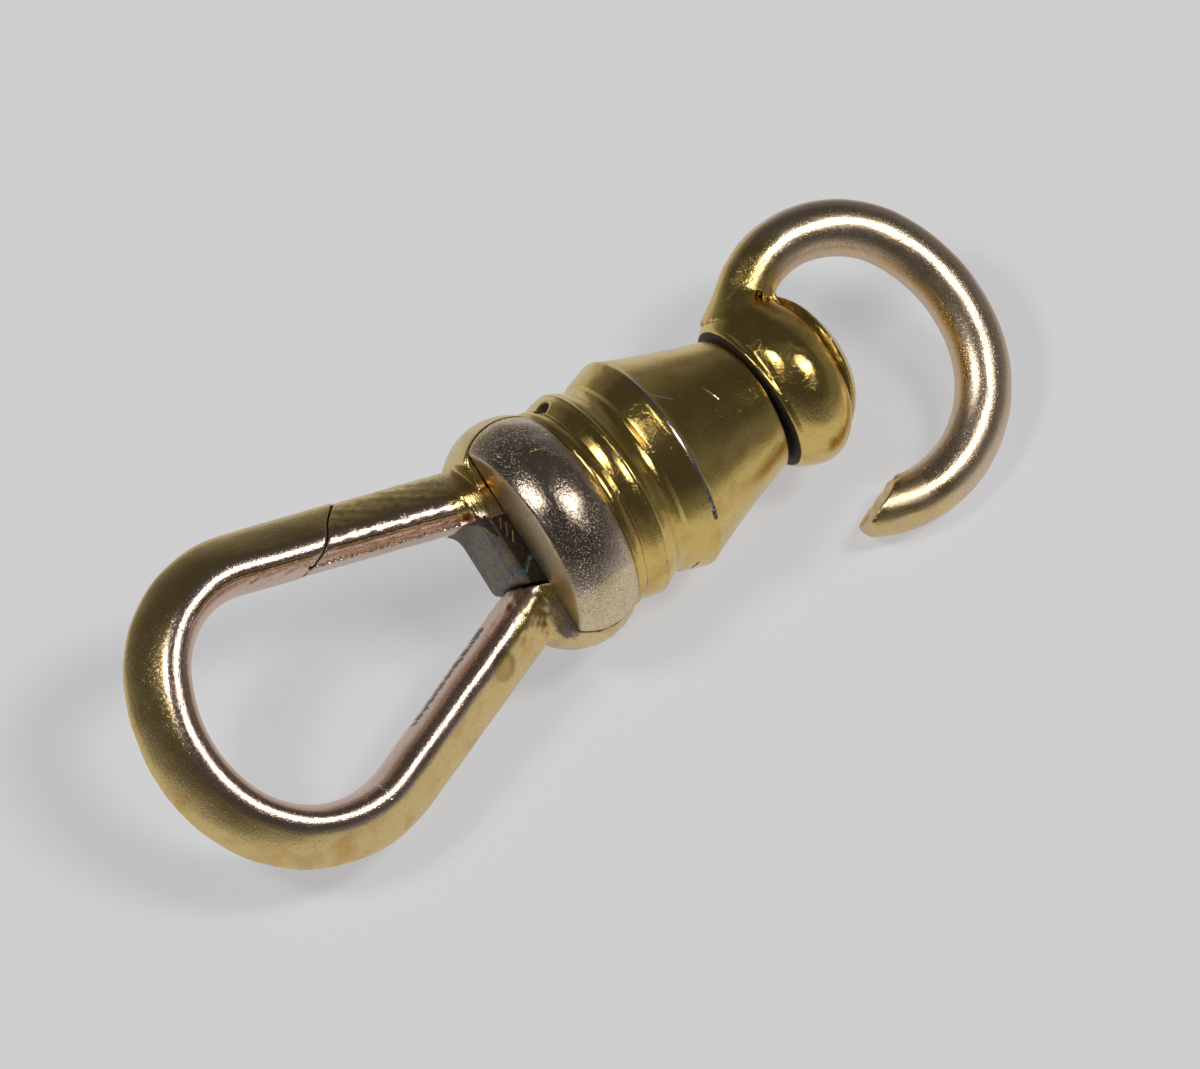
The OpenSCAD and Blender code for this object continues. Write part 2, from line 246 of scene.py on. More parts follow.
def piece(name, points, faces, body, material, marks, node):
    """Makes a piece that replaces a CAD node, and marks its vertices for the materials."""
    mesh = bpy.data.meshes.new(name)
    if inside_out(points, faces):
        faces = [f[::-1] for f in faces]
    mesh.from_pydata(to_world(points).tolist(), [], faces)
    mesh.validate()
    mesh.polygons.foreach_set("use_smooth", np.ones(len(mesh.polygons), bool))
    for key, values in {"place": points, **marks}.items():
        kind, field = ("FLOAT_VECTOR", "vector") if values.ndim == 2 else ("FLOAT", "value")
        mark = mesh.attributes.new(key, kind, "POINT")
        mark.data.foreach_set(field, values.astype(np.float32).ravel())
    mesh.materials.append(material)
    obj = bpy.data.objects.new(name, mesh)
    bpy.context.scene.collection.objects.link(obj)
    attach(obj, body)
    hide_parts(node)


GRAIN = 0.055


# ---------------------------------------------------------------- forms of the loop and the gate
LOOP_START, LOOP_HEADING = (-5.8 + 0.93, -1.917 + 0.357), 201.0
LOOP_BENDS = [(3.83, 98.3), (4.98, 42.4), (3.31, 75.7)]
loop_line = centre_line(LOOP_START, LOOP_HEADING, [6.85, *LOOP_BENDS, 6.0])
GATE_HEADING = math.radians(LOOP_HEADING - 98.3 - 42.4 - 75.7)
GATE_WAY = (math.cos(GATE_HEADING), math.sin(GATE_HEADING))
GATE_ROOT = (COLLAR_FACE, 1.85)
GATE_BEFORE = 8
gate_line = [Line(tuple(GATE_ROOT[i] - GATE_BEFORE * GATE_WAY[i] for i in (0, 1)),
                  math.degrees(GATE_HEADING), GATE_BEFORE + 1.0)]
SCARF_AT = tuple(GATE_ROOT[i] - 4.9 * GATE_WAY[i] for i in (0, 1))
SCARF_WAY = GATE_HEADING + math.radians(50)
SCARF_GAP, SCARF_SWAY = 0.022, 0.075


def wire_section(n, z, wide, thick=WIRE_T):
    """Leaf-shaped section: a sloping outer side, a soft ridge, and a long inner flank."""
    bulge, shy, crown = 1.41, 1.11, 0.62
    z = np.abs(z)
    n = n + wide * (0.5 - RIDGE)
    out = np.maximum(n + shy, 0) / (wide * (1 - RIDGE) + shy)
    high = z / (thick / 2 + crown)
    outer = ((out ** bulge + high ** bulge + TINY) ** (1 / bulge) - 1) * 1.5
    flank = -0.722 * (n + 0.189) + 0.692 * (z - thick / 2 - 0.183)
    inner = (z * z / 3.98 - n - wide * RIDGE) / np.sqrt(1 + (z / 1.99) ** 2)
    return most(most(outer, flank, 0.60), inner, 0.14)


def scarf_side(x, y, side):
    """Distance past the closed scarf joint, which runs across the arm in a shallow S."""
    dx, dy = x - SCARF_AT[0], y - SCARF_AT[1]
    w = dy * math.cos(SCARF_WAY) - dx * math.sin(SCARF_WAY)
    n = dy * math.cos(GATE_HEADING) - dx * math.sin(GATE_HEADING)
    w = w - SCARF_SWAY * np.sin(math.pi * np.clip(n / 0.85, -1.1, 1.1))
    return np.where(np.abs(n) < 1.3, SCARF_GAP / 2 - side * w, -1.0)


def dome_ring(x, r):
    """The collar's domed rim, before its flat faces are cut."""
    return np.sqrt(np.maximum(r - (COLLAR_R - DOME_R), 0) ** 2 + (x - DOME_X) ** 2) - DOME_R


def dome(x, r, face):
    """The collar's dome, from the given face to its seat."""
    return most(most(dome_ring(x, r), face - x, 0.06), x - SEAT_X, 0.04)


def spring_hole(x, r):
    """The bore for the spring, which reaches a little way into the collar."""
    return np.minimum(SPRING_BORE - r, x - BORE_FRONT)


def loop_field(x, y, z):
    """The fixed arm, heel, far end and crown of the loop, with its root in the slot."""
    n, s, _ = along_wire(loop_line, x, y)
    wide = WIRE_W + 0.12 * step(9.5, 13.5, s) * step(21.5, 16.5, s)
    wire = wire_section(n - (wide - WIRE_W) * -0.35, z, wide)
    wire = most(wire, scarf_side(x, y, 1), 0.03)
    past_scarf, root_end = -8.2, -3.19
    wire = np.where((y > 0) & (x > past_scarf), np.maximum(wire, 0.5), wire)
    wire = np.maximum(wire, np.where(y < 0.3, x - root_end, -1))
    r = np.sqrt(y * y + z * z)
    lump = most(dome(x, r, ROOT_FACE), np.abs(z) - SLOT_W / 2 + 0.01, 0.05)
    lump = np.maximum(np.maximum(lump, y), x - SEAT_X + 0.01)
    both = least(wire, lump, 0.35)
    swing = WEB_REACH + 0.08 - np.sqrt((x - PIN_X) ** 2 + (y - PIN_Y) ** 2)
    swing = np.where(x < -6.5, -1.0, swing)
    return most(most(both, swing, 0.03), spring_hole(x, r), 0.02)


def gate_field(x, y, z):
    """The gate's arm, its hub on the pivot pin, and the web that blocks the throat."""
    n, _, _ = along_wire(gate_line, x, y)
    arm = wire_section(n, z, WIRE_W * 0.97)
    arm = most(arm, scarf_side(x, y, -1), 0.03)
    arm = np.maximum(arm, x + 3.2)
    r = np.sqrt(y * y + z * z)
    hub = most(dome(x, r, ROOT_FACE), np.abs(z) - SLOT_W / 2 + 0.05, 0.06)
    hub = np.maximum(np.maximum(hub, PIN_Y - y), x - SEAT_X + 0.1)
    about = np.sqrt((x - PIN_X) ** 2 + (y - PIN_Y) ** 2)
    web = most(most(about - WEB_REACH, WEB_FACE - x, 0.10), x - PIN_X - WEB_BACK, 0.04)
    web = np.minimum(web, about - WEB_BACK)
    under = n + 0.8
    fillet = np.maximum(least(web, -under, 0.5), under)
    web = np.maximum(np.minimum(web, fillet), n)
    web = most(web, np.abs(z) - SLOT_W / 2 + 0.05, 0.07)
    body = least(arm, web, 0.12)
    body = least(body, hub, 0.15)
    return most(body, PIN_R + 0.05 - about, 0.03)


def collar_field(x, y, z):
    """The slotted collar with its spigot, spring bore and pin hole."""
    r = np.sqrt(y * y + z * z)
    ring = dome(x, r, COLLAR_FACE)
    slot = np.maximum(np.abs(z) - SLOT_W / 2, x - SEAT_X)
    ring = most(ring, -slot, 0.07)
    spigot = np.maximum(np.maximum(r - SPIGOT_R, SEAT_X - 0.05 - x), x - SEAT_X - SPIGOT_LEN)
    ring = np.minimum(ring, spigot)
    ring = most(ring, spring_hole(x, r), 0.02)
    hole = PIN_R + 0.01 - np.sqrt((x - PIN_X) ** 2 + (y - PIN_Y) ** 2)
    skin = dome_ring(x, r) + 0.12
    return np.maximum(ring, np.minimum(hole, -skin))


# ---------------------------------------------------------------- form of the swivel head
DRUM_MIDDLE, NEAR_FACE = 4.38, 3.46
RIVET_X = CONE_LEN - 0.6 - 0.15 - 0.2 - RIVET_T
RING_START, RING_HEADING = (4.748, 2.342), 48.6
RING_BENDS = [(2.795, 51.75), (3.27, 55.3), (4.875, 46.1), (3.72, 110.0)]
ROOT_RUN = 4.0
ring_line = centre_line((RING_START[0] - ROOT_RUN * math.cos(math.radians(RING_HEADING)),
                         RING_START[1] - ROOT_RUN * math.sin(math.radians(RING_HEADING))),
                        RING_HEADING, [ROOT_RUN, *RING_BENDS])


def along_ring(x, y):
    """As along_wire, with s counted from where the ring's first bend begins."""
    n, s, off = along_wire(ring_line, x, y)
    return n, s - ROOT_RUN, off


def head_axes(x, y):
    """The same place seen along the drum's own leaning axis."""
    dx = x - LEAN_X
    return (LEAN_X + dx * math.cos(HEAD_LEAN) + y * math.sin(HEAD_LEAN),
            y * math.cos(HEAD_LEAN) - dx * math.sin(HEAD_LEAN))


def drum_form(dx, y, z, seam):
    """A ball swelling out of a low lip, with the edge of the back disc standing past it."""
    r = np.sqrt(y * y + z * z)
    ball_r = ((y + 0.24) ** 2 + z * z) / DRUM_R ** 2
    ball = (np.sqrt(((dx - 0.19) / 1.64) ** 2 + ball_r + TINY) - 1) * 2.0
    flat = 2.36 - 0.34 * step(-0.84, -0.58, dx)
    square = 4.6 + 0.6 * step(0.2, 1.2, y)
    lip_r = (y / 2.49) ** 2 + (z / flat) ** 2
    lip = (np.sqrt((np.abs(dx) / 1.2) ** square + lip_r + TINY) - 1) * 2.0
    near = least(lip, ball, 0.02 + 0.10 * step(0.0, -0.4, dx))
    round_off = 2.4
    disc = (np.abs(dx) / 2.03) ** round_off + (r / DRUM_R) ** round_off + TINY
    disc = (disc ** (1 / round_off) - 1) * 2.1
    swell = least(ball, disc + 0.16, 0.08)
    far = swell + (disc - swell) * step(0.02, 0.08, seam)
    return near + (far - near) * step(-0.12, 0.12, dx)


def drum_seam(x, y, z):
    """Distance past the slanting seam on the drum's far side."""
    across = x - 4.82 - 0.45 * step(0.2, 2.1, y)
    return 0.9 * across - 0.44 * np.maximum(z, -0.5) + 9 * step(6.4, 6.9, x)


def nipped_wire(wire, x, y, z):
    """The ring's cut end: an oblique nip, a flat beneath it, and a blunt point."""
    cut = (x - 5.2) * math.sin(math.radians(25)) * -1 + (y + 4.35) * math.cos(math.radians(25))
    facet = -0.2 * (x - 6.17) - 0.8 * (y + 5.2) + 0.56 * (z - 0.5) - 0.20
    nipped = most(most(most(wire, cut, 0.05), facet, 0.03), 4.42 - x, 0.15)
    return np.where((y < -3) & (x < 7.5), nipped, wire)


def head_field(x, y, z):
    """The round drum with its stem, and the cut hook that flares out of it."""
    lx, ly = head_axes(x, y)
    r = np.sqrt(ly * ly + z * z)
    seam = drum_seam(x, y, z)
    drum = drum_form(lx - DRUM_MIDDLE, ly, z, seam)
    n, s, _ = along_ring(x, y)
    flare = 0.10 * step(0.6, -0.5, s) * step(-1.6, -0.7, s)
    wire = np.sqrt(n * n + z * z) - HOOK_WIRE / 2 - flare
    clear = step(0.15, 0.45, wire)
    groove = 0.09 * np.exp(-(seam / 0.045) ** 2) + 0.05 * np.exp(-((seam - 0.17) / 0.03) ** 2)
    drum = drum + clear * groove
    wire = np.maximum(wire, np.maximum(-3.4 - s, s - 16.5))
    wire = nipped_wire(wire, x, y, z)
    swell = ((lx - 4.55) / 1.15) ** 2 + ((ly - 1.5) / 1.08) ** 2 + (z / 1.5) ** 2
    swell = (np.sqrt(swell + TINY) - 1) * 1.2
    drum = least(drum, swell, 0.22)
    body = least(drum, wire, 0.30 + 0.20 * step(5.4, 4.8, lx))
    body = most(body, NEAR_FACE - lx, 0.12)
    stem = np.maximum(r - STEM_R, np.maximum(RIVET_X - lx, lx - 4))
    rivet = np.maximum(r - RIVET_R, np.maximum(RIVET_X - lx, lx - RIVET_X - RIVET_T))
    return np.minimum(np.minimum(body, stem), rivet)


# ---------------------------------------------------------------- the turned barrel
def smooth_run(stations, spacing):
    """A smooth curve through given stations (x, r)."""
    ends = [stations[0]] + list(stations) + [stations[-1]]
    run = []
    for before, start, stop, after in zip(ends, ends[1:], ends[2:], ends[3:]):
        count = max(1, round(math.dist(start, stop) / spacing))
        for i in range(count):
            u = i / count
            run.append(tuple(
                0.5 * (2 * b + (c - a) * u + (2 * a - 5 * b + 4 * c - d) * u * u
                       + (3 * b - a - 3 * c + d) * u ** 3)
                for a, b, c, d in zip(before, start, stop, after)))
    return run + [stations[-1]]


def barrel_profile():
    """The barrel's closed profile as (x, r), from the seat outside round and back inside."""
    seat_band = [(SEAT_X, SPIGOT_R + 0.01), (SEAT_X, 3.03), (SEAT_X + 0.015, 3.08),
                 (SEAT_X + 0.05, 3.12), (-2.65, 3.148), (-2.60, 3.152), (-2.53, 3.14),
                 (-2.46, 3.115), (-2.41, 3.09)]
    rim_and_bead = smooth_run([
        (-2.385, 3.07), (-2.36, 3.095), (-2.33, 3.09), (-2.29, 3.07), (-2.24, 3.09),
        (-2.12, 3.155), (-2.02, 3.195), (-1.92, 3.215), (-1.80, 3.222)], 0.03)
    edge = [(-1.775, 3.225), (-1.755, 3.235), (-1.73, 3.245), (-1.705, 3.24), (-1.685, 3.225)]
    neck = smooth_run([
        (-1.65, 3.20), (-1.52, 3.155), (-1.40, 3.09), (-1.28, 3.02), (-1.18, 2.97),
        (-1.08, 2.942), (-0.98, 2.936), (-0.92, 2.942)], 0.04)
    flare = smooth_run([
        (-0.90, 2.952), (-0.87, 2.985), (-0.84, 3.02), (-0.815, 3.046), (-0.79, 3.062),
        (-0.70, 3.096), (-0.60, 3.131), (-0.50, 3.163), (-0.40, 3.194), (-0.30, 3.225),
        (-0.20, 3.257)], 0.04)
    shoulder = [(-0.16, 3.274), (-0.12, 3.290), (-0.07, 3.302), (-0.02, 3.307),
                (0.02, 3.303), (0.045, 3.29), (0.06, 3.275)]
    cone_start, cone_foot_r, cone_top_r, hollow = 0.08, 3.26, CONE_TOP_R + 0.01, 0.05
    cone = [(cone_start + (CONE_LEN - 0.11) * i / 24,
             cone_foot_r + (cone_top_r - cone_foot_r) * i / 24 - hollow * math.sin(math.pi * i / 24))
            for i in range(25)]
    stem_hole_r, rivet_room_r, ledge_x = 0.73, 1.45, 1.2
    inside = [(3.33, 2.085), (CONE_LEN, 2.06), (CONE_LEN, stem_hole_r), (2.74, stem_hole_r),
              (2.74, rivet_room_r), (ledge_x, rivet_room_r), (ledge_x, SPRING_BORE),
              (-1.79, SPRING_BORE), (-1.79, SPIGOT_R + 0.01)]
    return seat_band + rim_and_bead + edge + neck + flare + shoulder + cone + inside


def turn_profile(profile, count):
    """A closed profile (x, r) turned about the barrel's axis, as points and faces."""
    angles = np.arange(count) * 2 * math.pi / count
    profile = np.array(profile)
    x = np.repeat(profile[:, 0], count)
    y = np.outer(profile[:, 1], np.cos(angles)).ravel()
    z = np.outer(profile[:, 1], np.sin(angles)).ravel()
    rows = len(profile)
    faces = []
    for i in range(rows):
        a, b = i * count, (i + 1) % rows * count
        faces += [(a + j, a + (j + 1) % count, b + (j + 1) % count, b + j) for j in range(count)]
    return np.stack([x, y, z], 1), faces


# ---------------------------------------------------------------- node trees
class Tree:
    """Adds nodes to a material or a group, and links what it is given."""

    def __init__(self, tree):
        self.tree = tree

    def add(self, kind, values=None, **settings):
        """A shader node with its settings and its input values or links."""
        node = self.tree.nodes.new("ShaderNode" + kind)
        for key, value in settings.items():
            setattr(node, key, value)
        for key, value in (values or {}).items():
            self.set(node.inputs[key], value)
        return node

    def set(self, socket, value):
        """Links a socket to another, or gives it a plain value."""
        if isinstance(value, bpy.types.NodeSocket):
            self.tree.links.new(value, socket)
        else:
            socket.default_value = value

    def math(self, operation, a, b=0.0, c=0.0, clamp=False):
        """One step of arithmetic."""
        return self.add("Math", {0: a, 1: b, 2: c}, operation=operation, use_clamp=clamp).outputs[0]

    def span(self, value, low, high, to_low=0.0, to_high=1.0):
        """A value carried from one range to another, and held at its ends."""
        return self.add("MapRange", {"Value": value, "From Min": low, "From Max": high,
                                     "To Min": to_low, "To Max": to_high}).outputs[0]

    def noise(self, vector, scale, detail=4.0, rough=0.55):
        """Noise of about the given number of waves in a mm."""
        return self.add("TexNoise", {"Vector": vector, "Scale": scale, "Detail": detail,
                                     "Roughness": rough}).outputs["Fac"]

    def mix(self, share, a, b):
        """Colour b over colour a by a share."""
        node = self.add("Mix", data_type="RGBA")
        self.set(node.inputs[0], share)
        self.set(node.inputs[6], a)
        self.set(node.inputs[7], b)
        return node.outputs[2]

    def vector(self, operation, a, b=None, out="Vector"):
        """One step of vector arithmetic."""
        node = self.add("VectorMath", {0: a}, operation=operation)
        if b is not None:
            self.set(node.inputs[3 if operation == "SCALE" else 1], b)
        return node.outputs[out]

    def mark(self, name, out="Fac"):
        """A mark stored on the piece's vertices."""
        return self.add("Attribute", attribute_name=name).outputs[out]

    def bump(self, strength, height):
        """The normal of a surface with very fine relief."""
        return self.add("Bump", {"Strength": strength, "Distance": 0.00002, "Height": height}).outputs[0]


def group(name, inputs, outputs, build):
    """A shader node group with named sockets; build gives what its outputs show."""
    tree = bpy.data.node_groups.new(name, "ShaderNodeTree")
    for kind, items in (("INPUT", inputs), ("OUTPUT", outputs)):
        for label, sort, *default in items:
            socket = tree.interface.new_socket(label, in_out=kind, socket_type="NodeSocket" + sort)
            if default:
                socket.default_value = default[0]
    t = Tree(tree)
    start, end = tree.nodes.new("NodeGroupInput"), tree.nodes.new("NodeGroupOutput")
    for label, value in build(t, start.outputs).items():
        t.set(end.inputs[label], value)
    return tree


def use(t, tree, **values):
    """Places a node group and gives it its values."""
    node = t.tree.nodes.new("ShaderNodeGroup")
    node.node_tree = tree
    for key, value in values.items():
        t.set(node.inputs[key], value)
    return node.outputs


# ---------------------------------------------------------------- effects shared by the metals
def build_worn_skin(t, given):
    """Fine pitting, tool lines and slow unevenness of old polished gold."""
    at = given["Place"]
    pits = t.noise(at, 13.0, 3.0, 0.6)
    fine = t.noise(at, 36.0, 2.0, 0.6)
    slow = t.noise(at, 1.2, 3.0, 0.5)
    lines = t.noise(given["Grain"], 1.0, 4.0, 0.7)
    height = t.math("ADD", t.math("MULTIPLY", pits, 0.8), t.math("MULTIPLY", fine, 0.4))
    height = t.math("ADD", height, t.math("MULTIPLY", lines, given["Lines"]))
    dots = t.span(t.noise(at, 21.0, 1.0, 0.4), 0.62, 0.70)
    height = t.math("SUBTRACT", height, t.math("MULTIPLY", dots, given["Dots"]))
    return {"Height": height, "Slow": slow, "Pits": t.span(pits, 0.56, 0.72), "Fine": fine,
            "Streak": lines}


worn_skin = group(
    "worn_skin",
    [("Place", "Vector"), ("Grain", "Vector"), ("Lines", "Float", 0.5), ("Dots", "Float", 1.0)],
    [("Height", "Float"), ("Slow", "Float"), ("Pits", "Float"), ("Fine", "Float"), ("Streak", "Float")],
    build_worn_skin)


def build_stroke(t, given):
    """A scratch or a thin line from one end to the other, 1 on it and 0 beside it."""
    way = t.vector("SUBTRACT", given["To"], given["From"])
    off = t.vector("SUBTRACT", given["Place"], given["From"])
    share = t.math("DIVIDE", t.vector("DOT_PRODUCT", off, way, "Value"),
                   t.vector("DOT_PRODUCT", way, way, "Value"), clamp=True)
    gap = t.vector("DISTANCE", off, t.vector("SCALE", way, share), "Value")
    rag = t.math("SUBTRACT", t.noise(given["Place"], 7.0, 3.0), 0.5)
    rag = t.math("MULTIPLY", rag, given["Rag"])
    wide = given["Width"]
    return {"Mask": t.span(t.math("ADD", gap, rag), wide, t.math("MULTIPLY", wide, 0.5))}


stroke = group(
    "stroke",
    [("Place", "Vector"), ("From", "Vector"), ("To", "Vector"), ("Width", "Float", 0.05),
     ("Rag", "Float", 0.03)],
    [("Mask", "Float")],
    build_stroke)

BLUE_GREY, BROWN_GREY = (0.11, 0.12, 0.14, 1), (0.24, 0.20, 0.13, 1)
PATINA_FLECK = (0.40, 0.33, 0.20, 1)
# Dark browns for grime and for painted shade in hollows and gaps.
GRIME_AND_SHADE_DEEP, GRIME_AND_SHADE_THIN = (0.020, 0.013, 0.008, 1), (0.085, 0.050, 0.022, 1)
VERDIGRIS_DEEP, VERDIGRIS_PALE = (0.05, 0.08, 0.08, 1), (0.17, 0.29, 0.29, 1)


def build_soil(t, given):
    """Brown grime and painted shade, grey-blue patina and verdigris over a metal's colour."""
    at = given["Place"]
    fleck = t.noise(at, 9.0, 4.0, 0.65)
    mottle = t.noise(at, 3.2, 4.0, 0.65)
    ragged = t.math("MULTIPLY", t.math("SUBTRACT", fleck, 0.5), 0.8)
    patina = t.span(t.math("ADD", given["Patina"], ragged), 0.35, 0.6)
    grime_and_shade = t.span(t.math("ADD", given["Grime"], ragged), 0.4, 0.65)
    green = t.span(t.math("ADD", given["Verdigris"], ragged), 0.4, 0.6)
    tone = t.mix(t.span(mottle, 0.42, 0.58), BLUE_GREY, BROWN_GREY)
    tone = t.mix(t.span(fleck, 0.56, 0.70), tone, PATINA_FLECK)
    colour = t.mix(t.math("MULTIPLY", patina, 0.92), given["Colour"], tone)
    colour = t.mix(grime_and_shade, colour, t.mix(t.span(fleck, 0.35, 0.7), GRIME_AND_SHADE_DEEP, GRIME_AND_SHADE_THIN))
    colour = t.mix(green, colour, t.mix(t.span(fleck, 0.4, 0.6), VERDIGRIS_DEEP, VERDIGRIS_PALE))
    cover = t.math("MAXIMUM", grime_and_shade, green)
    rough = t.math("ADD", given["Rough"], t.math("MULTIPLY", patina, 0.22))
    rough = t.math("MAXIMUM", rough, t.math("MULTIPLY", cover, 0.6))
    metal = t.math("SUBTRACT", 1.0, t.math("MULTIPLY", patina, 0.55))
    metal = t.math("MULTIPLY", metal, t.math("SUBTRACT", 1.0, t.math("MULTIPLY", cover, 0.9)))
    return {"Colour": colour, "Rough": rough, "Metal": metal}


soil = group(
    "soil",
    [("Colour", "Color"), ("Rough", "Float", 0.2), ("Place", "Vector"), ("Grime", "Float", 0.0),
     ("Patina", "Float", 0.0), ("Verdigris", "Float", 0.0)],
    [("Colour", "Color"), ("Rough", "Float"), ("Metal", "Float")],
    build_soil)

# ---------------------------------------------------------------- the metals
GOLD = (0.80, 0.60, 0.25, 1)
DEEP_GOLD = (0.80, 0.58, 0.17, 1)
COLLAR_GOLD = (0.84, 0.68, 0.42, 1)
ROSE = (0.74, 0.54, 0.42, 1)
RING_ROSE = (0.78, 0.60, 0.42, 1)
GREY_ROSE = (0.64, 0.52, 0.40, 1)
SILVERED = (0.60, 0.50, 0.44, 1)
PALE = (0.96, 0.88, 0.72, 1)
FRESH = (0.96, 0.72, 0.24, 1)
# Orange for painted reflections of the arms.
PAINTED_REFLECTION_ORANGE = (1.0, 0.56, 0.12, 1)
AMBER = (0.62, 0.36, 0.12, 1)
UMBER = (0.20, 0.11, 0.05, 1)
SOOT = (0.08, 0.04, 0.02, 1)
OCHRE = (0.52, 0.38, 0.13, 1)


def shaded(colour, red, green, blue):
    """A colour with each part scaled down."""
    return (colour[0] * red, colour[1] * green, colour[2] * blue, 1)


def add_strokes(t, strokes, place, colour, grime_and_shade, patina, height):
    """Lays single scratches and stains, painted reflections and painted shade: each is a colour, or one
    of the soil's own kinds.
    """
    lay, green = t.mark("lay", "Vector"), 0.0
    for kind, start, end, width, rag in strokes:
        flat = len(start) == 2
        mask = use(t, stroke, Place=lay if flat else place, From=tuple(start) + (0,) * flat,
                   To=tuple(end) + (0,) * flat, Width=width, Rag=rag)["Mask"]
        if kind == "grime_and_shade":
            grime_and_shade = t.math("MAXIMUM", grime_and_shade, mask)
        elif kind == "green":
            green = t.math("MAXIMUM", green, mask)
        else:
            colour = t.mix(mask, colour, kind)
            clean = t.math("SUBTRACT", 1.0, mask)
            grime_and_shade, patina = (t.math("MULTIPLY", cover, clean) for cover in (grime_and_shade, patina))
        height = t.math("SUBTRACT", height, t.math("MULTIPLY", mask, 0.8))
    return colour, grime_and_shade, patina, green, height


def metal(name, gold, base, rough, base_rough, bump, lines=0.5, dots=0.5, speckled=0.5,
          strokes=(), seam=False):
    """Worn gold over its base metal; the piece's marks say where it is bare and tarnished, and where
    grime and painted shade darken it.

    A stroke is a kind, two ends, a width and a raggedness; ends of two numbers lie along the
    piece, and ends of three are places. With seam, a dark line with a bright one beside it
    follows the piece's seam mark.
    """
    material = bpy.data.materials.new(name)
    material.use_nodes = True
    t = Tree(material.node_tree)
    shader = t.tree.nodes["Principled BSDF"]
    place = t.mark("place", "Vector")
    skin = use(t, worn_skin, Place=place, Grain=t.mark("grain", "Vector"), Lines=lines, Dots=dots)
    uneven = t.math("SUBTRACT", skin["Slow"], 0.5)
    streaky = t.math("MULTIPLY", t.math("SUBTRACT", skin["Streak"], 0.5), 0.35)
    worn = t.math("ADD", t.math("MULTIPLY", uneven, 0.8), streaky)
    bare = t.span(t.math("ADD", t.mark("bare"), worn), 0.35, 0.65)
    deeper = shaded(gold, 0.86, 0.76, 0.62)
    colour = t.mix(bare, t.mix(t.span(skin["Slow"], 0.5, 0.7), gold, deeper), base)
    fine = t.math("MULTIPLY", t.span(skin["Fine"], 0.46, 0.62), 0.55)
    speckle = t.math("MULTIPLY", t.math("MAXIMUM", skin["Pits"], fine), speckled)
    colour = t.mix(speckle, colour, shaded(base, 0.45, 0.45, 0.45))
    colour, grime_and_shade, patina, green, height = add_strokes(
        t, strokes, place, colour, t.mark("grime_and_shade"), t.mark("patina"), skin["Height"])
    if seam:
        line = t.mark("seam")
        grime_and_shade = t.math("MAXIMUM", grime_and_shade, t.span(t.math("ABSOLUTE", line), 0.05, 0.025))
        beside = t.math("ABSOLUTE", t.math("ADD", line, 0.085))
        colour = t.mix(t.span(beside, 0.045, 0.02), colour, FRESH)
    value = t.math("ADD", t.span(bare, 0, 1, rough, base_rough), t.math("MULTIPLY", uneven, 0.10))
    matt = t.math("ADD", t.mark("matt"), t.math("MULTIPLY", skin["Pits"], 0.12))
    dirty = use(t, soil, Colour=colour, Rough=t.math("ADD", value, matt), Place=place, Grime=grime_and_shade,
                Patina=patina, Verdigris=green)
    t.set(shader.inputs["Base Color"], dirty["Colour"])
    t.set(shader.inputs["Roughness"], dirty["Rough"])
    t.set(shader.inputs["Metallic"], dirty["Metal"])
    t.set(shader.inputs["Normal"], t.bump(bump, height))
    return material


def plain_metal(name, colour, rough):
    """Metal for the small pieces that keep their CAD form."""
    material = bpy.data.materials.new(name)
    material.use_nodes = True
    t = Tree(material.node_tree)
    shader = t.tree.nodes["Principled BSDF"]
    place = t.vector("SCALE", t.add("TexCoord").outputs["Object"], 1 / MM)
    skin = use(t, worn_skin, Place=place, Grain=place, Lines=0.3, Dots=0.5)
    pitted = t.math("MULTIPLY", skin["Pits"], 0.7)
    t.set(shader.inputs["Base Color"], t.mix(pitted, colour, shaded(colour, 0.4, 0.4, 0.4)))
    t.set(shader.inputs["Roughness"], t.math("ADD", rough, t.math("MULTIPLY", skin["Slow"], 0.1)))
    shader.inputs["Metallic"].default_value = 1.0
    t.set(shader.inputs["Normal"], t.bump(0.4, skin["Height"]))
    return material


